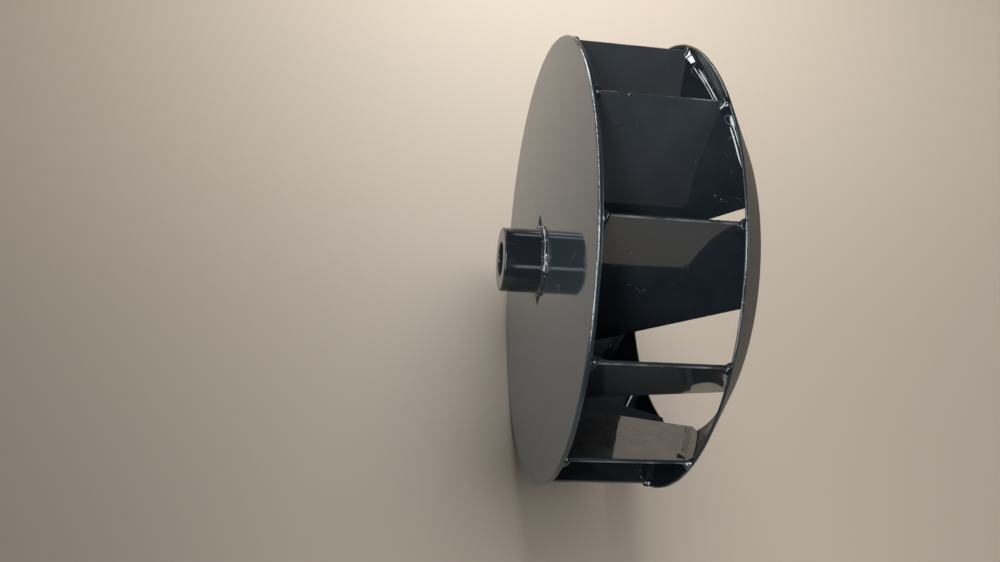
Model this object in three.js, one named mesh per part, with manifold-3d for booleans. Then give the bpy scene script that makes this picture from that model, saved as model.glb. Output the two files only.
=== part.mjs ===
// Centrifugal fan wheel: a flat back plate with a turned hub, twelve flat backward-leaning blades
// and a conical inlet shroud, all sheet steel, welded together and painted gloss black.
//
// Millimetres. The wheel turns about Y. The hub points to -Y and the inlet eye to +Y, and the
// origin is on the axis, midway along the overall length. The wheel stands on its two rims.

import * as THREE from 'three';
import { mergeVertices } from 'three/addons/utils/BufferGeometryUtils.js';
import Module from 'manifold-3d';

const wasm = await Module();
wasm.setup();

// Driving dimensions. Depths along the axis are measured from the back plate's outer face.

const RIM_RADIUS = 315;
const PLATE_THICKNESS = 6;
const RIM_DEPTH = 164;
const SHROUD_SHEET = 3.5;
const SHROUD_SLOPE = THREE.MathUtils.degToRad(34.7);
const EYE_RADIUS = 238;

const BLADE_COUNT = 12;
const BLADE_THICKNESS = 5;
const BLADE_OUTER_RADIUS = 311;
const BLADE_LEAN = THREE.MathUtils.degToRad(41.7);
const BLADE_CHORD_AT_PLATE = 197.5;
const BLADE_CHORD_AT_EYE = 118;
const BLADE_TIP_SETBACK = 2;
const FIRST_BLADE_ANGLE = THREE.MathUtils.degToRad(2.5);

const HUB_RADIUS = 46;
const HUB_PROJECTION = 58;
const HUB_CHAMFER = 1.5;
const BORE_RADIUS = 25;
const SPIGOT_RADIUS = 33;
const SPIGOT_PROJECTION = 5;

const BEAD_LEG = 7;
const BEAD_START_SETBACK = 4;
const BEAD_END_SETBACK = 6;
const HUB_BEAD_LEG = 8;
const SPIGOT_BEAD_LEG = 4.5;
const SEAM_WIDTH = 9;
const SEAM_HEIGHT = 1.2;
const SEAM_ANGLE = THREE.MathUtils.degToRad(200);

const SEAT_GAP = 0.3;

const RIM_SEGMENTS = 72;
const HUB_SEGMENTS = 48;
const BEAD_ARC_STEPS = 4;
const SHROUD_BEAD_STEPS = 6;
const SHROUD_BEAD_SIDES = 10;

// Sizes worked out from the driving ones.

const SHROUD_INNER_RIM_RADIUS = RIM_RADIUS - SHROUD_SHEET * Math.sin(SHROUD_SLOPE);
const EYE_DEPTH = RIM_DEPTH + (SHROUD_INNER_RIM_RADIUS - EYE_RADIUS) * Math.tan(SHROUD_SLOPE);
const EYE_LIP_DEPTH = EYE_DEPTH + SHROUD_SHEET * Math.cos(SHROUD_SLOPE);
const MID_DEPTH = (EYE_LIP_DEPTH - HUB_PROJECTION) / 2;
const FACET_HALF_ANGLE = Math.PI / RIM_SEGMENTS;

const paint = (name, color, roughness) => {
  const material = new THREE.MeshStandardMaterial({ color, roughness, metalness: 0 });
  material.name = name;
  return material;
};

const enamel = () => paint('gloss_black_enamel', 0x15191d, 0.18);
const beadEnamel = () => paint('weld_bead_enamel', 0x1c2024, 0.3);

// Rings and turned pieces

const polar = (radius, depth) => new THREE.Vector2(radius, depth);

function turned(outline, segments) {
  return new THREE.LatheGeometry([...outline, outline[0]], segments, FACET_HALF_ANGLE);
}

function backPlateGeometry() {
  const holeRadius = SPIGOT_RADIUS + SEAT_GAP;
  return turned([
    polar(holeRadius, 0),
    polar(RIM_RADIUS, 0),
    polar(RIM_RADIUS, PLATE_THICKNESS),
    polar(holeRadius, PLATE_THICKNESS),
  ], RIM_SEGMENTS);
}

function hubGeometry() {
  const noseDepth = -HUB_PROJECTION;
  const tailDepth = PLATE_THICKNESS + SPIGOT_PROJECTION;
  return turned([
    polar(BORE_RADIUS + HUB_CHAMFER, noseDepth),
    polar(HUB_RADIUS - HUB_CHAMFER, noseDepth),
    polar(HUB_RADIUS, noseDepth + HUB_CHAMFER),
    polar(HUB_RADIUS, -SEAT_GAP),
    polar(SPIGOT_RADIUS, -SEAT_GAP),
    polar(SPIGOT_RADIUS, tailDepth),
    polar(BORE_RADIUS + HUB_CHAMFER, tailDepth),
    polar(BORE_RADIUS, tailDepth - HUB_CHAMFER),
    polar(BORE_RADIUS, noseDepth + HUB_CHAMFER),
  ], HUB_SEGMENTS);
}

// A quarter-round fillet in the corner between a cylinder and a flat face. The side is +1 where the
// bead stands above the face along the axis and -1 where it hangs below it.

function ringBeadGeometry(cylinderRadius, faceDepth, leg, side) {
  const corner = polar(cylinderRadius + SEAT_GAP, faceDepth + side * SEAT_GAP);
  const outline = [corner];
  for (let i = 0; i <= BEAD_ARC_STEPS; i += 1) {
    const angle = (i / BEAD_ARC_STEPS) * Math.PI / 2;
    outline.push(polar(corner.x + leg * Math.cos(angle), corner.y + side * leg * Math.sin(angle)));
  }
  return turned(side > 0 ? outline : outline.reverse(), HUB_SEGMENTS);
}

function shroudInnerDepth(radius) {
  return RIM_DEPTH + (SHROUD_INNER_RIM_RADIUS - radius) * Math.tan(SHROUD_SLOPE);
}

function shroudGeometry() {
  const outward = polar(Math.sin(SHROUD_SLOPE), Math.cos(SHROUD_SLOPE)).multiplyScalar(SHROUD_SHEET);
  const rimInside = polar(SHROUD_INNER_RIM_RADIUS, RIM_DEPTH);
  const eyeInside = polar(EYE_RADIUS, EYE_DEPTH);
  return turned([rimInside, rimInside.clone().add(outward), eyeInside.clone().add(outward), eyeInside],
    RIM_SEGMENTS);
}

// The ground-down butt weld where the rolled cone's sheet closes, as a strip on its outer face.

function shroudSeamGeometry() {
  const slantLength = (SHROUD_INNER_RIM_RADIUS - EYE_RADIUS) / Math.cos(SHROUD_SLOPE);
  const strip = new THREE.BoxGeometry(slantLength - 2 * BEAD_END_SETBACK, SEAM_HEIGHT, SEAM_WIDTH);
  const middleRadius = (SHROUD_INNER_RIM_RADIUS + EYE_RADIUS) / 2;
  const lift = SHROUD_SHEET + SEAT_GAP + SEAM_HEIGHT / 2;
  strip.rotateZ(-SHROUD_SLOPE);
  strip.translate(
    middleRadius + lift * Math.sin(SHROUD_SLOPE),
    shroudInnerDepth(middleRadius) + lift * Math.cos(SHROUD_SLOPE),
    0,
  );
  return strip;
}

// Blades. A point on a blade is given by its distance in from the outer edge along the chord, its
// depth along the axis, and its height off the blade's convex face.

const chordDirection = new THREE.Vector3(-Math.cos(BLADE_LEAN), 0, -Math.sin(BLADE_LEAN));
const faceNormal = new THREE.Vector3(Math.sin(BLADE_LEAN), 0, -Math.cos(BLADE_LEAN));

function bladePoint(chord, depth, height) {
  return new THREE.Vector3(BLADE_OUTER_RADIUS, depth, 0)
    .addScaledVector(chordDirection, chord)
    .addScaledVector(faceNormal, height);
}

function toBladeFrame(geometry) {
  const axes = new THREE.Matrix4().makeBasis(chordDirection, new THREE.Vector3(0, 1, 0), faceNormal);
  axes.setPosition(BLADE_OUTER_RADIUS, 0, 0);
  return geometry.applyMatrix4(axes);
}

function toSolid(geometry) {
  const bare = geometry.clone();
  bare.deleteAttribute('normal');
  bare.deleteAttribute('uv');
  const merged = mergeVertices(bare, 1e-4);
  return new wasm.Manifold(new wasm.Mesh({
    numProp: 3,
    vertProperties: new Float32Array(merged.attributes.position.array),
    triVerts: new Uint32Array(merged.index.array),
  }));
}

function toGeometry(solid) {
  const mesh = solid.getMesh();
  const geometry = new THREE.BufferGeometry();
  geometry.setAttribute('position', new THREE.BufferAttribute(mesh.vertProperties, 3));
  geometry.setIndex(new THREE.BufferAttribute(mesh.triVerts, 1));
  const faceted = geometry.toNonIndexed();
  faceted.computeVertexNormals();
  return faceted;
}

// Everything beyond the shroud's inner face, less the seat gap: what the blades are trimmed by.

function beyondShroud() {
  const tipDepth = EYE_DEPTH - BLADE_TIP_SETBACK;
  const gapAlongAxis = SEAT_GAP / Math.cos(SHROUD_SLOPE);
  const depthAt = (radius) => shroudInnerDepth(radius) - gapAlongAxis;
  const tipRadius = EYE_RADIUS + (depthAt(EYE_RADIUS) - tipDepth) / Math.tan(SHROUD_SLOPE);
  const farRadius = RIM_RADIUS + 2 * BEAD_LEG;
  const farDepth = EYE_DEPTH + 4 * BEAD_LEG;
  return toSolid(new THREE.LatheGeometry([
    polar(0, tipDepth),
    polar(tipRadius, tipDepth),
    polar(farRadius, depthAt(farRadius)),
    polar(farRadius, farDepth),
    polar(0, farDepth),
  ], RIM_SEGMENTS, FACET_HALF_ANGLE));
}

function bladeGeometry(trimmer) {
  const nearDepth = PLATE_THICKNESS + SEAT_GAP;
  const chordPerDepth = (BLADE_CHORD_AT_EYE - BLADE_CHORD_AT_PLATE) / (EYE_DEPTH - PLATE_THICKNESS);
  const farDepth = EYE_DEPTH + BEAD_LEG;
  const farChord = BLADE_CHORD_AT_PLATE + chordPerDepth * (farDepth - PLATE_THICKNESS);
  const outline = new THREE.Shape([
    new THREE.Vector2(0, nearDepth),
    new THREE.Vector2(BLADE_CHORD_AT_PLATE, nearDepth),
    new THREE.Vector2(farChord, farDepth),
    new THREE.Vector2(0, farDepth),
  ]);
  const sheet = new THREE.ExtrudeGeometry(outline, { depth: BLADE_THICKNESS, bevelEnabled: false });
  sheet.translate(0, 0, -BLADE_THICKNESS);
  return toGeometry(toSolid(toBladeFrame(sheet)).subtract(trimmer));
}

function plateBeadGeometry() {
  const section = new THREE.Shape();
  section.moveTo(0, 0);
  for (let i = 0; i <= BEAD_ARC_STEPS; i += 1) {
    const angle = (i / BEAD_ARC_STEPS) * Math.PI / 2;
    section.lineTo(BEAD_LEG * Math.sin(angle), BEAD_LEG * Math.cos(angle));
  }
  const length = BLADE_CHORD_AT_PLATE - BEAD_START_SETBACK - BEAD_END_SETBACK;
  const bead = new THREE.ExtrudeGeometry(section, { depth: length, bevelEnabled: false });
  bead.rotateY(Math.PI / 2);
  bead.rotateX(Math.PI / 2);
  bead.translate(BEAD_START_SETBACK, PLATE_THICKNESS + SEAT_GAP, SEAT_GAP);
  return toBladeFrame(bead);
}

// The bead in the corner between blade and shroud: a round bar laid along the joint, with what
// would lie inside the blade or the shroud cut away.

function shroudBeadGeometry(trimmer) {
  const joint = [];
  const length = BLADE_CHORD_AT_EYE - BEAD_START_SETBACK - BEAD_END_SETBACK;
  for (let i = 0; i <= SHROUD_BEAD_STEPS; i += 1) {
    const chord = BEAD_START_SETBACK + (i / SHROUD_BEAD_STEPS) * length;
    const foot = bladePoint(chord, 0, 0);
    joint.push(bladePoint(chord, shroudInnerDepth(Math.hypot(foot.x, foot.z)), 0));
  }
  const bar = new THREE.ExtrudeGeometry(
    new THREE.Shape().absarc(0, 0, BEAD_LEG, 0, 2 * Math.PI),
    {
      steps: SHROUD_BEAD_STEPS,
      curveSegments: SHROUD_BEAD_SIDES,
      extrudePath: new THREE.CatmullRomCurve3(joint),
    },
  );
  const bladeSide = new THREE.BoxGeometry(2 * RIM_RADIUS, 2 * RIM_RADIUS, 4 * BEAD_LEG);
  bladeSide.translate(0, RIM_DEPTH, SEAT_GAP - 2 * BEAD_LEG);
  return toGeometry(toSolid(bar).subtract(trimmer).subtract(toSolid(toBladeFrame(bladeSide))));
}

// Assembly

const wheel = new THREE.Group();
wheel.position.y = -MID_DEPTH;

function place(name, geometry, material, angle = 0) {
  const mesh = new THREE.Mesh(geometry, material);
  mesh.name = name;
  mesh.rotation.y = -angle;
  wheel.add(mesh);
}

place('back_plate', backPlateGeometry(), enamel());
place('hub', hubGeometry(), enamel());
place('hub_weld', ringBeadGeometry(HUB_RADIUS, 0, HUB_BEAD_LEG, -1), beadEnamel());
place('spigot_weld', ringBeadGeometry(SPIGOT_RADIUS, PLATE_THICKNESS, SPIGOT_BEAD_LEG, 1), beadEnamel());
place('inlet_shroud', shroudGeometry(), enamel());
place('shroud_seam_weld', shroudSeamGeometry(), enamel(), SEAM_ANGLE);

const trimmer = beyondShroud();
const blade = bladeGeometry(trimmer);
const plateBead = plateBeadGeometry();
const shroudBead = shroudBeadGeometry(trimmer);

for (let i = 0; i < BLADE_COUNT; i += 1) {
  const angle = FIRST_BLADE_ANGLE + (i * 2 * Math.PI) / BLADE_COUNT;
  const number = String(i + 1).padStart(2, '0');
  place(`blade_${number}`, blade, enamel(), angle);
  place(`plate_weld_${number}`, plateBead, beadEnamel(), angle);
  place(`shroud_weld_${number}`, shroudBead, beadEnamel(), angle);
}

export default wheel;
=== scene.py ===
"""Looks of the centrifugal fan wheel: sheet steel, weld beads and gloss black enamel.

Metres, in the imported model's frame. The wheel turns about Y, with the hub toward -Y and the inlet
eye toward +Y, and stands on its two rims.
"""

import math

import bmesh
import bpy
from mathutils import Matrix, Vector, noise


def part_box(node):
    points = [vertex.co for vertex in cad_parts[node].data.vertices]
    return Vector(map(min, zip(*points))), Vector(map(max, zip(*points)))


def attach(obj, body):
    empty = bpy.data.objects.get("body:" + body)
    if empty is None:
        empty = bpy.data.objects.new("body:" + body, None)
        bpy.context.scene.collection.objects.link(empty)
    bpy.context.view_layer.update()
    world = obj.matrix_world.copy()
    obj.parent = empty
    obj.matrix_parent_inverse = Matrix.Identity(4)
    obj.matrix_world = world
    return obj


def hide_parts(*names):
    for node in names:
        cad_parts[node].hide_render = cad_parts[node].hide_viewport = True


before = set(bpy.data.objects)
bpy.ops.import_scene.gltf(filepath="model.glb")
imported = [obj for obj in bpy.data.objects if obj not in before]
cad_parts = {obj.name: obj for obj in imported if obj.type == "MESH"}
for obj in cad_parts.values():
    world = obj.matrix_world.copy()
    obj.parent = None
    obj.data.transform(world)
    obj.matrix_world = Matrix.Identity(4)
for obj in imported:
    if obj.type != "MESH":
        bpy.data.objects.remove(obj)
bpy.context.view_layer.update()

MM = 0.001
BODY = "root"

# Sizes shared with the solids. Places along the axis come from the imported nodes' boxes.

RIM_RADIUS = 315 * MM
SHROUD_SHEET = 3.5 * MM
SHROUD_SLOPE = math.radians(34.7)
EYE_RADIUS = 238 * MM

BLADE_COUNT = 12
BLADE_THICKNESS = 5 * MM
BLADE_OUTER_RADIUS = 311 * MM
BLADE_LEAN = math.radians(41.7)
BLADE_CHORD_AT_PLATE = 197.5 * MM
BLADE_CHORD_AT_EYE = 118 * MM
FIRST_BLADE_ANGLE = math.radians(2.5)

HUB_RADIUS = 46 * MM
HUB_CHAMFER = 1.5 * MM
BORE_RADIUS = 25 * MM
SPIGOT_RADIUS = 33 * MM
HUB_CLEARANCE = 0.3 * MM
SEAM_ANGLE = math.radians(200)

plate_low, plate_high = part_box("back_plate")
hub_low, hub_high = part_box("hub")
shroud_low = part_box("inlet_shroud")[0]

PLATE_OUTER = plate_low.y
PLATE_INNER = plate_high.y
HUB_NOSE = hub_low.y
HUB_TAIL = hub_high.y
SHROUD_RIM = shroud_low.y
SHROUD_INNER_RIM_RADIUS = RIM_RADIUS - SHROUD_SHEET * math.sin(SHROUD_SLOPE)
EYE_INSIDE = SHROUD_RIM + (SHROUD_INNER_RIM_RADIUS - EYE_RADIUS) * math.tan(SHROUD_SLOPE)

# Sizes of the finish work that the solids leave out

MERGE_DISTANCE = 0.01 * MM
EDGE_ROUNDING = 0.5 * MM
HUB_EDGE_ROUNDING = 0.4 * MM
BLADE_EDGE_ROUNDING = 0.9 * MM
SMALLEST_FLAT = 60 * MM * MM
PLATE_CHAMFER = 1.9 * MM
PLATE_INNER_CHAMFER = 0.8 * MM
RIM_CROWN = 0.53 * MM
RIM_UNEVENNESS = 0.5 * MM
UNEVEN_RIM_WIDTH = 5 * MM
RIM_WAVE = 20 * MM
RIM_RIPPLE = 5 * MM
OUT_OF_ROUND = 4 * MM
OUT_OF_ROUND_ANGLE = math.radians(137)
OUT_OF_ROUND_SPREAD = math.radians(14)
# How far in from a rounded corner the flat beside it is held
HOLD = 0.3 * MM
RIM_STEPS = 288
HUB_STEPS = 160

BEAD_LEG = 7 * MM
BEAD_HOOK = 6 * MM
BEAD_EDGE_TURN = math.pi * BLADE_THICKNESS / 2
BEAD_END_SETBACK = 5 * MM
BEAD_SIDES = 16
BEAD_GROWTH = 6 * MM
SWELLING = 0.35
SWELLING_PLACE = 3 * MM
SWELLING_SPREAD = 6 * MM
UNEVEN_WAVE = 11 * MM
LUMP_SIZE = 4 * MM
LUMPS_END = 25 * MM
START_TAPER = 3 * MM
END_TAPER = 4 * MM
NARROWED_AT_EDGE = 0.55

HUB_BEAD_LEG = 6.5 * MM
HUB_BEAD_TAILS = [(math.radians(160), 15 * MM), (math.radians(-38), 18 * MM)]
TAIL_WIDTH = 2 * MM
RING_WAVE = 12 * MM
RING_LUMP = 5 * MM
SPIGOT_BEAD_LEG = 4.5 * MM
SEAM_BEAD_LEG = 4.5 * MM
SEAM_END_GAP = 2 * MM
SEAM_WAVE = 9 * MM
SEAM_DRESSED_SHARE = 0.3

SHROUD_PASSES = 4
SHROUD_BEAD_REACH = 2.8
REACH_START = 5 * MM
REACH_GROWTH = 10 * MM
RIDGE_START = 38 * MM
RIDGE_GROWTH = 8 * MM
RIDGE_HEIGHT = 0.05
RING_SPACING = 0.8 * MM
RIPPLE_PITCH = 2.6 * MM
RIPPLE_BOW = 1.2 * MM
RIPPLE_HEIGHT = 0.015
HOLLOW = 0.3
BURIED_SHARE = 0.3
SHOWN_SIDES = 0.75
WELD_LIMIT_RADIUS = RIM_RADIUS - 0.4 * MM

# Each bead's place in the noise that makes it uneven
HUB_BEAD_SEED = 3
SPIGOT_BEAD_SEED = 4
SEAM_SEED = 7
FIRST_PLATE_BEAD_SEED = 10
FIRST_SHROUD_BEAD_SEED = 40


# Shader nodes

def linear(hex_colour):
    """sRGB hex to the linear colour that the shader takes."""
    channels = [int(hex_colour[i:i + 2], 16) / 255 for i in (1, 3, 5)]
    return [c / 12.92 if c <= 0.04045 else ((c + 0.055) / 1.055) ** 2.4 for c in channels] + [1.0]


def add(tree, kind, inputs=None, **settings):
    """A node with its settings, and its inputs as values or as links from other nodes' sockets."""
    made = tree.nodes.new(kind)
    for setting, value in settings.items():
        setattr(made, setting, value)
    for socket, value in (inputs or {}).items():
        if isinstance(value, bpy.types.NodeSocket):
            tree.links.new(value, made.inputs[socket])
        else:
            made.inputs[socket].default_value = value
    return made


# Sizes of the enamel's marks. Orange peel is 3 to 5 mm across, and the sags under it 30 mm or more.
# Dust nibs are under 1 mm, and drawn about 1.5 mm wide so that they show.

PEEL_SIZE = 4 * MM
SAG_SIZE = 35 * MM
SAG_DEPTH = 0.12 * MM
GRINDER_MARK = 3 * MM
EDGE_BLEND = 0.4 * MM
NIB_SPACING = 16 * MM
NIB_PATCH = 60 * MM
SCUFF_BEND = 45 * MM
EDGE_STROKE_LENGTH = 25 * MM
PALE_MARK = "#9a9a94"


def gloss_enamel(
        name, colour, coat, gloss, haze, peel, streak_size, streak_depth, streak_turn=0.0,
        edge_from=1.0, edge_wear_and_highlight=0.0, ragged=0.0, pigment_shine=0.5):
    """Gloss black machinery enamel, sprayed thick over bare metal. Its skin mirrors the
    surroundings, wobbling with the orange peel; the pigment under it has a soft bluish haze, and
    dust nibs and a few hairline scuffs show pale on it. Further out than edge_from, a radius, are
    the dressed edges, which can carry pale strokes that are worn paint and painted highlight
    together, and can be ragged from the grinder. The pigment's own shine, 0.5 when whole, is less
    where it is open-pored."""
    material = bpy.data.materials.new(name)
    material.use_nodes = True
    tree = material.node_tree
    tree.nodes.clear()
    place = add(tree, "ShaderNodeTexCoord").outputs["Object"]

    # The skin: orange peel, then sags, then the marks of the metal under it.
    peel_noise = add(tree, "ShaderNodeTexNoise", {"Vector": place, "Scale": 1 / PEEL_SIZE, "Detail": 2})
    sags = add(tree, "ShaderNodeTexNoise", {"Vector": place, "Scale": 1 / SAG_SIZE, "Detail": 1})
    along = add(tree, "ShaderNodeMapping", {
        "Vector": place, "Rotation": (0, streak_turn, 0), "Scale": streak_size}, vector_type="TEXTURE")
    streaks = add(tree, "ShaderNodeTexNoise", {"Vector": along.outputs[0], "Scale": 1, "Detail": 4})
    peel_bump = add(tree, "ShaderNodeBump", {"Height": peel_noise.outputs[0], "Distance": peel})
    sag_bump = add(tree, "ShaderNodeBump", {
        "Height": sags.outputs[0], "Distance": SAG_DEPTH, "Normal": peel_bump.outputs[0]})
    streak_bump = add(tree, "ShaderNodeBump", {
        "Height": streaks.outputs[0], "Distance": streak_depth, "Normal": sag_bump.outputs[0]})

    # Grinder marks, only on the dressed edges.
    across_axis = add(tree, "ShaderNodeVectorMath", {0: place, 1: (1, 0, 1)}, operation="MULTIPLY")
    radius = add(tree, "ShaderNodeVectorMath", {0: across_axis.outputs[0]}, operation="LENGTH")
    at_edge = add(tree, "ShaderNodeMapRange", {
        "Value": radius.outputs["Value"], "From Min": edge_from, "From Max": edge_from + EDGE_BLEND})
    marks = add(tree, "ShaderNodeTexNoise", {"Vector": place, "Scale": 1 / GRINDER_MARK, "Detail": 2})
    edge_marks = add(tree, "ShaderNodeMath", {
        0: at_edge.outputs[0], 1: marks.outputs[0]}, operation="MULTIPLY")
    skin = add(tree, "ShaderNodeBump", {
        "Height": edge_marks.outputs[0], "Distance": ragged, "Normal": streak_bump.outputs[0]})

    # Dust nibs, only in some patches.
    specks = add(tree, "ShaderNodeTexVoronoi", {"Vector": place, "Scale": 1 / NIB_SPACING})
    nib = add(tree, "ShaderNodeMapRange", {
        "Value": specks.outputs["Distance"], "From Min": 0.035, "From Max": 0.05,
        "To Min": 1.0, "To Max": 0.0})
    patches = add(tree, "ShaderNodeTexNoise", {"Vector": place, "Scale": 1 / NIB_PATCH, "Detail": 2})
    patchy = add(tree, "ShaderNodeMapRange", {
        "Value": patches.outputs[0], "From Min": 0.5, "From Max": 0.6})

    # Scuffs are the contour lines of a slow noise: curved hairlines.
    bends = add(tree, "ShaderNodeTexNoise", {"Vector": place, "Scale": 1 / SCUFF_BEND, "Detail": 1})
    off_line = add(tree, "ShaderNodeMath", {0: bends.outputs[0], 1: 0.5, 2: 0.0035}, operation="COMPARE")
    scuffed = add(tree, "ShaderNodeMapRange", {
        "Value": patches.outputs[0], "From Min": 0.61, "From Max": 0.66, "To Max": 0.22})
    scuff = add(tree, "ShaderNodeMath", {
        0: off_line.outputs[0], 1: scuffed.outputs[0]}, operation="MULTIPLY")
    nibs = add(tree, "ShaderNodeMath", {
        0: nib.outputs[0], 1: patchy.outputs[0], 2: scuff.outputs[0]}, operation="MULTIPLY_ADD")

    # Pale strokes along the dressed edges: paint rubbed thin, and with it a painted highlight line.
    edge_strokes = add(tree, "ShaderNodeTexNoise", {"Vector": place, "Scale": 1 / EDGE_STROKE_LENGTH, "Detail": 3})
    rubbed_and_highlit_strokes = add(tree, "ShaderNodeMapRange", {
        "Value": edge_strokes.outputs[0], "From Min": 0.35, "From Max": 0.65, "To Max": edge_wear_and_highlight})
    painted_highlight_and_wear = add(tree, "ShaderNodeMath", {
        0: at_edge.outputs[0], 1: rubbed_and_highlit_strokes.outputs[0]}, operation="MULTIPLY")
    pale = add(tree, "ShaderNodeMath", {
        0: nibs.outputs[0], 1: painted_highlight_and_wear.outputs[0]}, operation="MAXIMUM")
    shade = add(tree, "ShaderNodeMix", {
        "Factor": pale.outputs[0], "A": linear(colour), "B": linear(PALE_MARK)}, data_type="RGBA")

    dull = add(tree, "ShaderNodeMapRange", {
        "Value": streaks.outputs[0], "From Min": 0.3, "From Max": 0.7,
        "To Min": haze * 0.8, "To Max": haze * 1.25})

    shader = add(tree, "ShaderNodeBsdfPrincipled", {
        "Base Color": shade.outputs["Result"], "Roughness": dull.outputs[0],
        "Specular IOR Level": pigment_shine, "Normal": skin.outputs[0], "Coat Weight": coat,
        "Coat Roughness": gloss, "Coat Normal": skin.outputs[0]})
    add(tree, "ShaderNodeOutputMaterial", {"Surface": shader.outputs[0]})
    return material


EVEN = (25 * MM,) * 3
ROLLING = (160 * MM, 3 * MM, 3 * MM)
TURNING = (60 * MM, 0.9 * MM, 60 * MM)

ROLLING_DIRECTION = math.radians(28.7)
DRESSED_RIM = 2 * MM
DRESSED_BLADE_EDGE = 1.3 * MM

# Gloss enamel over rolled plate: a dark mirror of the floor, drawn out along the rolling marks. The
# grinder's marks break the rim's highlight into a ragged bright line.
plate_enamel = gloss_enamel(
    "gloss_enamel_on_rolled_plate", "#1b2226", coat=0.0, gloss=0.05, haze=0.05, peel=0.002 * MM,
    streak_size=ROLLING, streak_depth=0.008 * MM, streak_turn=ROLLING_DIRECTION,
    edge_from=RIM_RADIUS - DRESSED_RIM, ragged=0.35 * MM)

# Gloss enamel, thick over flat sheet: a clear coat's crisp, dark mirror over hazy pigment, and a pale
# line along the outer edge that is partly rubbed paint and partly a painted highlight.
blade_enamel = gloss_enamel(
    "gloss_enamel_on_blade_sheet", "#161c21", coat=1.0, gloss=0.05, haze=0.5, peel=0.002 * MM,
    streak_size=EVEN, streak_depth=0.01 * MM, edge_from=BLADE_OUTER_RADIUS - DRESSED_BLADE_EDGE,
    edge_wear_and_highlight=0.35, pigment_shine=0.2)

# Gloss enamel over a turned boss: the fine turning marks draw each light out into a line along it.
hub_enamel = gloss_enamel(
    "gloss_enamel_on_turned_hub", "#15181b", coat=0.0, gloss=0.05, haze=0.1, peel=0.002 * MM,
    streak_size=TURNING, streak_depth=0.002 * MM)

# Satin enamel, sprayed thin outside the cone: a soft sheen that holds no clear image. Under its half
# coat the pigment mirrors nothing.
shroud_enamel = gloss_enamel(
    "satin_enamel_on_rolled_cone", "#1b1c1d", coat=0.45, gloss=0.25, haze=0.6, peel=0.003 * MM,
    streak_size=EVEN, streak_depth=0.02 * MM, pigment_shine=0.0)

# Satin enamel inside the cone: darker than outside, with dim and slightly blurred images.
shroud_inner_enamel = gloss_enamel(
    "satin_enamel_inside_the_cone", "#0d1216", coat=0.0, gloss=0.05, haze=0.3, peel=0.002 * MM,
    streak_size=EVEN, streak_depth=0.01 * MM, pigment_shine=0.3)

# Gloss enamel run over weld metal: each ripple and lump catches a small bright glint.
weld_enamel = gloss_enamel(
    "gloss_enamel_on_weld_beads", "#14181c", coat=0.0, gloss=0.05, haze=0.06, peel=0.002 * MM,
    streak_size=EVEN, streak_depth=0.004 * MM)


# Pieces

wheel = bpy.data.collections.new("wheel")


def finish_piece(name, bm, slot, materials, *nodes):
    """Makes the mesh a piece that rides on the wheel and stands for the named solids."""
    for face in bm.faces:
        face.smooth = True
    mesh = bpy.data.meshes.new(name)
    bm.to_mesh(mesh)
    bm.free()
    for material in materials:
        mesh.materials.append(material)
    piece = bpy.data.objects.new(name, mesh)
    bpy.context.collection.objects.link(piece)
    wheel.objects.link(piece)
    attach(piece, BODY)
    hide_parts(*nodes)
    return piece


def hold_ends(edge):
    """Adds a point just inside each end of a long edge, so that the flat beside a rounded corner
    keeps its own shading."""
    near, far = edge.verts
    inner = bmesh.utils.edge_split(edge, near, HOLD / edge.calc_length())[1]
    long_part = next(e for e in inner.link_edges if far in e.verts)
    bmesh.utils.edge_split(long_part, far, HOLD / long_part.calc_length())


def turned(corners, rounding, steps):
    """Spins a section, given as (radius, y) corners, round the wheel's axis, corners rounded."""
    bm = bmesh.new()
    section = bm.faces.new([bm.verts.new((radius, y, 0)) for radius, y in corners])
    bmesh.ops.bevel(
        bm, geom=section.verts[:], offset=rounding, segments=3, profile=0.5,
        affect="VERTICES", material=-1)
    for edge in [e for e in bm.edges if e.calc_length() > 3 * HOLD]:
        hold_ends(edge)
    bmesh.ops.delete(bm, geom=bm.faces[:], context="FACES_ONLY")
    bmesh.ops.spin(
        bm, geom=bm.verts[:] + bm.edges[:], cent=(0, 0, 0), axis=(0, 1, 0), angle=2 * math.pi,
        steps=steps, use_merge=True)
    bmesh.ops.recalc_face_normals(bm, faces=bm.faces[:])
    return bm


def roughen_rim(bm, depth):
    """Cut and dressed edges are never quite round: the outermost points move in by a little."""
    for vert in bm.verts:
        radius = math.hypot(vert.co.x, vert.co.z)
        if radius > RIM_RADIUS - UNEVEN_RIM_WIDTH:
            waves = 0.85 * noise.noise(vert.co / RIM_WAVE) + 0.15 * noise.noise(vert.co / RIM_RIPPLE)
            share = 1 - depth * (0.5 + waves) / radius
            vert.co.x *= share
            vert.co.z *= share


back_plate = turned([
    (SPIGOT_RADIUS + HUB_CLEARANCE, PLATE_OUTER),
    (RIM_RADIUS - PLATE_CHAMFER, PLATE_OUTER),
    (RIM_RADIUS, PLATE_OUTER + PLATE_CHAMFER),
    (RIM_RADIUS, PLATE_INNER - PLATE_INNER_CHAMFER),
    (RIM_RADIUS - PLATE_INNER_CHAMFER, PLATE_INNER),
    (SPIGOT_RADIUS + HUB_CLEARANCE, PLATE_INNER),
], EDGE_ROUNDING, RIM_STEPS)
roughen_rim(back_plate, RIM_UNEVENNESS)
finish_piece("plate_sheet", back_plate, "sheet_enamel", [plate_enamel], "back_plate")

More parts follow.
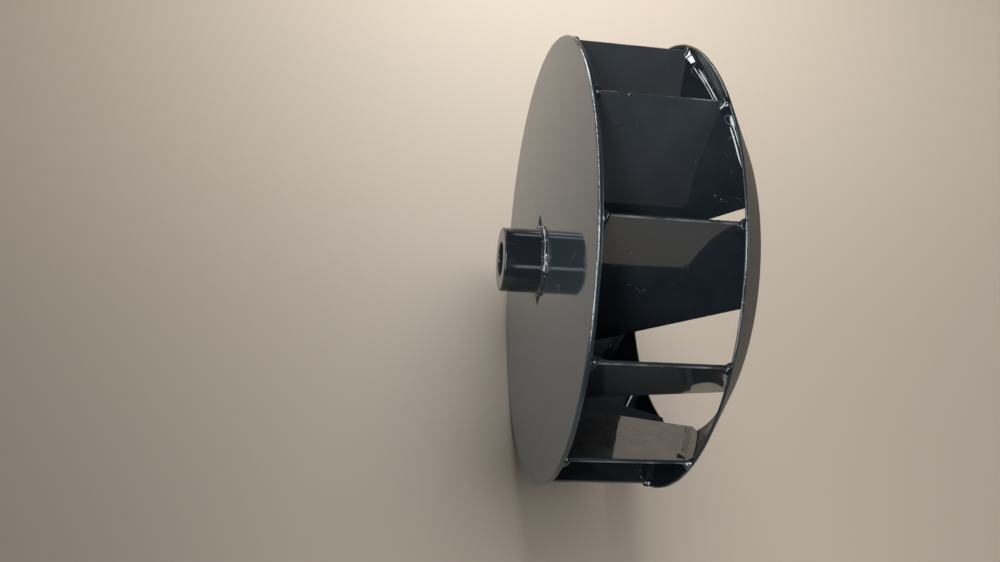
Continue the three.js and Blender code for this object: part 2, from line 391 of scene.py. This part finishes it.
slant_in = Vector((math.cos(SHROUD_SLOPE), -math.sin(SHROUD_SLOPE)))
sheet_out = SHROUD_SHEET * Vector((math.sin(SHROUD_SLOPE), math.cos(SHROUD_SLOPE)))
rim_inside = Vector((SHROUD_INNER_RIM_RADIUS, SHROUD_RIM))
eye_inside = Vector((EYE_RADIUS, EYE_INSIDE))
inlet_shroud = turned([
    rim_inside,
    rim_inside + 0.55 * sheet_out + RIM_CROWN * slant_in,
    rim_inside + sheet_out,
    eye_inside + sheet_out,
    eye_inside,
], EDGE_ROUNDING, RIM_STEPS)
roughen_rim(inlet_shroud, RIM_UNEVENNESS)
for vert in inlet_shroud.verts:
    radius = math.hypot(vert.co.x, vert.co.z)
    off_spot = math.atan2(vert.co.z, vert.co.x) - OUT_OF_ROUND_ANGLE
    share = min(1, max(0, (radius - EYE_RADIUS) / (RIM_RADIUS - EYE_RADIUS)))
    stand = OUT_OF_ROUND * share * math.exp(-0.5 * (off_spot / OUT_OF_ROUND_SPREAD) ** 2)
    vert.co.x *= 1 + stand / radius
    vert.co.z *= 1 + stand / radius

# The cone's two sides face along the axis by cos(34.7 degrees), 0.82; its cut edges face it less.
SHEET_FACING = 0.75
for face in inlet_shroud.faces:
    if face.normal.y > SHEET_FACING:
        face.material_index = 1
    elif face.normal.y < -SHEET_FACING:
        face.material_index = 2
    else:
        face.material_index = 0
finish_piece(
    "shroud_sheet", inlet_shroud, "sheet_enamel", [plate_enamel, shroud_enamel, shroud_inner_enamel],
    "inlet_shroud")

hub = turned([
    (BORE_RADIUS + HUB_CHAMFER, HUB_NOSE),
    (HUB_RADIUS - HUB_CHAMFER, HUB_NOSE),
    (HUB_RADIUS, HUB_NOSE + HUB_CHAMFER),
    (HUB_RADIUS, PLATE_OUTER - HUB_CLEARANCE),
    (SPIGOT_RADIUS, PLATE_OUTER - HUB_CLEARANCE),
    (SPIGOT_RADIUS, HUB_TAIL),
    (BORE_RADIUS + HUB_CHAMFER, HUB_TAIL),
    (BORE_RADIUS, HUB_TAIL - HUB_CHAMFER),
    (BORE_RADIUS, HUB_NOSE + HUB_CHAMFER),
], HUB_EDGE_ROUNDING, HUB_STEPS)
finish_piece("hub_boss", hub, "sheet_enamel", [hub_enamel], "hub")


def sheet_with_rounded_edges(node):
    """A copy of a flat sheet's solid, its triangles joined into flat faces and its edges eased."""
    bm = bmesh.new()
    bm.from_mesh(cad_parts[node].data)
    bmesh.ops.remove_doubles(bm, verts=bm.verts[:], dist=MERGE_DISTANCE)
    bmesh.ops.dissolve_limit(
        bm, angle_limit=math.radians(1), verts=bm.verts[:], edges=bm.edges[:], delimit=set())
    corners = [e for e in bm.edges if e.calc_face_angle(0) > math.radians(30)]
    bmesh.ops.bevel(
        bm, geom=corners, offset=BLADE_EDGE_ROUNDING, segments=3, profile=0.5,
        affect="EDGES", material=-1)
    flats = [f for f in bm.faces if f.calc_area() > SMALLEST_FLAT]
    bmesh.ops.inset_individual(bm, faces=flats, thickness=HOLD, use_even_offset=True)
    return bm


# Weld beads. Travel is the way along the bead, across is away from the blade, and lift is away from
# the sheet that the blade stands on.

def blade_spot(chord, height):
    """A spot beside the first blade, by its distance in from the outer edge and off the welded face."""
    lean_in, lean_back = math.cos(BLADE_LEAN), math.sin(BLADE_LEAN)
    return Vector((
        BLADE_OUTER_RADIUS - chord * lean_in + height * lean_back,
        0,
        -chord * lean_back - height * lean_in,
    ))


def on_plate(chord, height, lift):
    spot = blade_spot(chord, height)
    spot.y = PLATE_INNER + lift
    return spot


def on_shroud(chord, height, lift):
    spot = blade_spot(chord, height)
    radius = math.hypot(spot.x, spot.z)
    inner = SHROUD_RIM + (SHROUD_INNER_RIM_RADIUS - radius) * math.tan(SHROUD_SLOPE)
    spot *= (radius - lift * math.sin(SHROUD_SLOPE)) / radius
    spot.y = inner - lift * math.cos(SHROUD_SLOPE)
    return spot


def beside_blade(travel, across):
    """The bead starts on the blade's hollow side, turns round its outer edge and runs in along the
    welded side."""
    half = BLADE_THICKNESS / 2
    if travel < BEAD_HOOK:
        return BEAD_HOOK - travel, -BLADE_THICKNESS - across
    if travel < BEAD_HOOK + BEAD_EDGE_TURN:
        angle = (travel - BEAD_HOOK) / half
        reach = half + across * (1 - NARROWED_AT_EDGE * math.sin(angle))
        return -reach * math.sin(angle), -half - reach * math.cos(angle)
    return travel - BEAD_HOOK - BEAD_EDGE_TURN, across


def fillet_leg(travel, length, seed, passes):
    """The bead's size along the way: thin at the start, swollen just past the blade's edge,
    uneven after that, and closed at both ends. A bead of several passes runs smoother."""
    grown = min(1, travel / (BEAD_HOOK + BEAD_GROWTH))
    past_edge = travel - BEAD_HOOK - BEAD_EDGE_TURN - SWELLING_PLACE
    swelling = SWELLING * math.exp(-0.5 * (past_edge / SWELLING_SPREAD) ** 2)
    uneven = 0.2 * noise.noise(Vector((travel / (UNEVEN_WAVE * passes), seed, 0)))
    lumps = 0.1 if passes == 1 else 0.1 * max(0.0, 1 - travel / LUMPS_END)
    uneven += lumps * noise.noise(Vector((travel / LUMP_SIZE, seed, 5)))
    closing = math.sqrt(max(0.0, min(1, travel / START_TAPER, (length - travel) / END_TAPER)))
    return BEAD_LEG * (0.3 + 0.5 * grown + swelling + uneven) * closing


def weld_bar(length, leg_at, place, sides=BEAD_SIDES, passes=1, closed=False):
    """A bar of weld metal, rippled by its puddles, or with a smooth ridge for each of several
    passes. Three quarters of its sides go to the quarter that shows; the buried part is thin."""
    bm = bmesh.new()
    bmesh.ops.create_cone(
        bm, cap_ends=not closed, segments=sides, radius1=1, radius2=1, depth=1)
    lengthwise = [e for e in bm.edges if abs(e.verts[0].co.z - e.verts[1].co.z) > 0.5]
    bmesh.ops.subdivide_edges(bm, edges=lengthwise, cuts=round(length / RING_SPACING))
    pitch = length / round(length / RIPPLE_PITCH)
    for vert in bm.verts:
        turn = math.atan2(vert.co.y, vert.co.x) / (2 * math.pi) % 1
        angle = turn * 2 * math.pi / 3 if turn < SHOWN_SIDES else (turn * 6 - 4) * math.pi
        travel = (vert.co.z + 0.5) * length
        shown = max(0.0, math.cos(angle)) * max(0.0, math.sin(angle))
        if passes == 1:
            relief = RIPPLE_HEIGHT * math.cos(2 * math.pi * (travel + RIPPLE_BOW * shown) / pitch)
        else:
            settled = min(1, max(0.0, travel - RIDGE_START) / RIDGE_GROWTH)
            ridges = abs(math.sin(2 * passes * angle)) if turn < SHOWN_SIDES else 0.0
            relief = RIDGE_HEIGHT * settled * ridges
        size = leg_at(travel) * (1 - HOLLOW * shown + relief)
        across, lift = size * math.cos(angle), size * math.sin(angle)
        across *= 1 if across > 0 else BURIED_SHARE
        lift *= 1 if lift > 0 else BURIED_SHARE
        vert.co = place(travel, across, lift)
    if closed:
        bmesh.ops.remove_doubles(bm, verts=bm.verts[:], dist=MERGE_DISTANCE)
    bmesh.ops.recalc_face_normals(bm, faces=bm.faces[:])
    return bm


def keep_inside_rims(bm):
    """Weld that stood past the rims has been ground back flush."""
    for vert in bm.verts:
        radius = math.hypot(vert.co.x, vert.co.z)
        if radius > WELD_LIMIT_RADIUS:
            vert.co.x *= WELD_LIMIT_RADIUS / radius
            vert.co.z *= WELD_LIMIT_RADIUS / radius


def blade_weld(surface, chord, seed, angle, reach=1, sides=BEAD_SIDES, passes=1):
    """The bead of one blade. Reach is how much further it comes down the blade than it stands out
    on the other sheet."""
    length = BEAD_HOOK + BEAD_EDGE_TURN + chord - BEAD_END_SETBACK

    def place(travel, across, lift):
        past_edge = min(1, max(0.0, (travel - BEAD_HOOK - REACH_START) / REACH_GROWTH))
        stretch = 1 + (reach - 1) * past_edge if lift > 0 else 1
        return surface(*beside_blade(travel, across), lift * stretch)

    bm = weld_bar(
        length, lambda travel: fillet_leg(travel, length, seed, passes), place, sides, passes)
    keep_inside_rims(bm)
    bmesh.ops.rotate(bm, verts=bm.verts[:], matrix=Matrix.Rotation(-angle, 3, "Y"))
    return bm


for i in range(BLADE_COUNT):
    number = f"{i + 1:02d}"
    angle = FIRST_BLADE_ANGLE + i * 2 * math.pi / BLADE_COUNT
    finish_piece(
        f"blade_sheet_{number}", sheet_with_rounded_edges(f"blade_{number}"), "sheet_enamel",
        [blade_enamel], f"blade_{number}")
    finish_piece(
        f"plate_bead_{number}",
        blade_weld(on_plate, BLADE_CHORD_AT_PLATE, FIRST_PLATE_BEAD_SEED + i, angle),
        "bead_enamel", [weld_enamel], f"plate_weld_{number}")
    finish_piece(
        f"shroud_bead_{number}",
        blade_weld(
            on_shroud, BLADE_CHORD_AT_EYE, FIRST_SHROUD_BEAD_SEED + i, angle, SHROUD_BEAD_REACH,
            2 * BEAD_SIDES, SHROUD_PASSES),
        "bead_enamel", [weld_enamel], f"shroud_weld_{number}")


def ring_weld(radius, face, side, leg, seed, tails=()):
    """A bead all round a cylinder that stands on a face; side is +1 where the face looks to +Y.
    Tails are runs of weld that trail off over the face, each by its angle and its length."""
    length = 2 * math.pi * radius

    def leg_at(travel):
        angle = travel / radius
        spot = Vector((math.cos(angle), math.sin(angle), seed)) * radius
        return leg * (0.95 + 0.35 * noise.noise(spot / RING_WAVE) + 0.15 * noise.noise(spot / RING_LUMP))

    def place(travel, across, lift):
        angle = travel / radius
        toe = max(0.0, across / leg)
        for tail_angle, tail_length in tails:
            off = math.remainder(angle - tail_angle, 2 * math.pi) * radius
            across += toe ** 4 * tail_length * math.exp(-(off / TAIL_WIDTH) ** 2)
        reach = radius + across
        return Vector((reach * math.cos(angle), face + side * lift, reach * math.sin(angle)))

    return weld_bar(length, leg_at, place, closed=True)


finish_piece(
    "hub_bead",
    ring_weld(HUB_RADIUS, PLATE_OUTER, -1, HUB_BEAD_LEG, HUB_BEAD_SEED, HUB_BEAD_TAILS),
    "bead_enamel", [weld_enamel], "hub_weld")
finish_piece(
    "spigot_bead", ring_weld(SPIGOT_RADIUS, PLATE_INNER, 1, SPIGOT_BEAD_LEG, SPIGOT_BEAD_SEED),
    "bead_enamel", [weld_enamel], "spigot_weld")


def seam_weld():
    """The dressed butt weld along the cone's slant, where its sheet closes."""
    slant = (SHROUD_INNER_RIM_RADIUS - EYE_RADIUS) / math.cos(SHROUD_SLOPE)
    length = slant - 2 * SEAM_END_GAP

    def leg_at(travel):
        return SEAM_BEAD_LEG * (1 + 0.15 * noise.noise(Vector((travel / SEAM_WAVE, SEAM_SEED, 0))))

    def place(travel, across, lift):
        along = travel + SEAM_END_GAP
        radius = SHROUD_INNER_RIM_RADIUS + sheet_out[0] - along * math.cos(SHROUD_SLOPE)
        y = SHROUD_RIM + sheet_out[1] + along * math.sin(SHROUD_SLOPE)
        rise = SEAM_DRESSED_SHARE * lift
        return Vector((
            radius + rise * math.sin(SHROUD_SLOPE), y + rise * math.cos(SHROUD_SLOPE), across))

    bm = weld_bar(length, leg_at, place)
    bmesh.ops.rotate(bm, verts=bm.verts[:], matrix=Matrix.Rotation(-SEAM_ANGLE, 3, "Y"))
    return bm


finish_piece("shroud_seam_bead", seam_weld(), "sheet_enamel", [shroud_enamel], "shroud_seam_weld")


# Stage, light and camera

FLOOR_REACH = 12
FLOOR_COLOUR = linear("#bdad9b")
FLOOR_ROUGHNESS = 0.6
LIGHT_COLOUR = linear("#f3f7fa")[:3]
SURROUNDINGS_COLOUR = linear("#c2c8d2")
SURROUNDINGS_STRENGTH = 0.08

# The camera's lens and sensor in millimetres, its place, and the way its right, up and back point, as
# solved from the photograph
LENS = 27.72
SENSOR_WIDTH = 36
FARTHEST_SEEN = 100
CAMERA_PLACE = (0.66702, -0.29021, 0.87277)
CAMERA_RIGHT = Vector((0.03597, 0.98894, 0.14388))
CAMERA_UP = Vector((-0.81475, -0.05435, 0.57726))
CAMERA_BACK = Vector((0.57869, -0.13799, 0.80379))

stage = bpy.data.collections.new("stage")


def stage_floor():
    """A plain pale floor. Its matt paint scatters the light evenly, so that it shows no image of the
    wheel, and gives the enamel a warm tone to mirror."""
    bm = bmesh.new()
    bmesh.ops.create_grid(bm, x_segments=1, y_segments=1, size=FLOOR_REACH)
    bmesh.ops.translate(bm, verts=bm.verts[:], vec=(0, 0, -RIM_RADIUS))
    mesh = bpy.data.meshes.new("floor")
    bm.to_mesh(mesh)
    bm.free()
    floor = bpy.data.objects.new("floor", mesh)
    bpy.context.collection.objects.link(floor)
    stage.objects.link(floor)
    material = bpy.data.materials.new("pale_floor")
    material.use_nodes = True
    shader = material.node_tree.nodes["Principled BSDF"]
    shader.inputs["Base Color"].default_value = FLOOR_COLOUR
    shader.inputs["Roughness"].default_value = FLOOR_ROUGHNESS
    mesh.materials.append(material)


def soft_light(name, place, target, width, height, watts, spread=180, only=None):
    """A soft box. One that lights only the wheel is screened off the floor, and shows as a glint in
    the enamel; one that lights only the stage is screened off the wheel."""
    lamp = bpy.data.lights.new(name, "AREA")
    lamp.shape = "RECTANGLE"
    lamp.size = width
    lamp.size_y = height
    lamp.energy = watts
    lamp.color = LIGHT_COLOUR
    lamp.spread = math.radians(spread)
    light = bpy.data.objects.new(name, lamp)
    bpy.context.collection.objects.link(light)
    light.location = place
    if only:
        light.light_linking.receiver_collection = only
    light.rotation_euler = (Vector(target) - Vector(place)).to_track_quat("-Z", "Y").to_euler()


stage_floor()

# Each by its place, its target, its width and height in metres, and its watts
soft_light("low_window", (-5.5, 0, 0.35), (0, 0, 0.05), 8.5, 1.3, 11, only=wheel)
soft_light("key", (-0.5, 3.0, 1.1), (-0.3, 0.4, -0.3), 1.6, 1.0, 14)
soft_light("right_high", (0.6, 2.6, 1.9), (0, 0, 0), 1.8, 1.2, 45, only=wheel)
soft_light("left_rear", (-6.3, -2.0, 0.1), (0, 0, 0.2), 1.6, 0.6, 22, only=wheel)
soft_light("left_end", (-3.6, -2.0, 0.8), (0, 0, 0.2), 1.6, 0.5, 36, only=wheel)
soft_light("left_far", (-1.2, -2.2, 1.25), (0, 0, 0.2), 2.0, 0.3, 26, only=wheel)
soft_light("left_high", (0.28, -2.2, 1.3), (0, 0, 0.2), 0.5, 0.9, 24, only=wheel)
soft_light("left_near", (0.95, -2.2, 0.45), (0, 0, 0.2), 1.3, 0.6, 34, only=wheel)
soft_light("left_upper", (0.95, -1.6, 2.05), (0.05, 0.07, 0.3), 1.1, 0.8, 74, only=wheel)
soft_light("front_left", (1.85, -1.25, 0.62), (0.2, 0, 0.1), 0.6, 0.4, 13, only=wheel)
soft_light("front_left_high", (2.1, -0.6, 1.3), (0.2, 0, 0.05), 0.8, 0.4, 7, only=wheel)
soft_light("back_left", (-2.4, -1.25, 1.15), (-0.6, -0.2, -0.3), 2.2, 0.6, 15, only=wheel)
soft_light("fill", (2.15, 1.05, 2.15), (0, 0, 0), 2.6, 1.9, 3, only=wheel)
soft_light("top", (-1.0, 0.85, 2.7), (0, 0, 0), 1.2, 0.6, 0.95)
soft_light("back_floor", (-1.85, 0.05, 1.4), (-1.85, 0.05, -0.3), 2.4, 1.0, 57, 150, only=stage)
soft_light("right_floor", (-1.7, 1.9, 1.4), (-1.7, 1.9, -0.3), 1.4, 1.0, 5, 150, only=stage)
soft_light("front_floor", (1.05, 0.25, 0.65), (1.05, 0.25, -0.3), 1.6, 0.8, 6.5, 150, only=stage)
soft_light("near_floor", (1.7, 0.55, 0.3), (1.7, 0.55, -0.3), 0.8, 1.0, 3.4, 110, only=stage)

world = bpy.data.worlds.new("studio")
world.use_nodes = True
surroundings = world.node_tree.nodes["Background"]
surroundings.inputs["Color"].default_value = SURROUNDINGS_COLOUR
surroundings.inputs["Strength"].default_value = SURROUNDINGS_STRENGTH
bpy.context.scene.world = world
bpy.context.scene.view_settings.view_transform = "Standard"

camera_data = bpy.data.cameras.new("camera")
camera_data.sensor_width = SENSOR_WIDTH
camera_data.lens = LENS
camera_data.clip_end = FARTHEST_SEEN
camera = bpy.data.objects.new("camera", camera_data)
bpy.context.collection.objects.link(camera)
camera.matrix_world = Matrix.Translation(CAMERA_PLACE) @ Matrix(
    (CAMERA_RIGHT, CAMERA_UP, CAMERA_BACK)).transposed().to_4x4()
bpy.context.scene.camera = camera
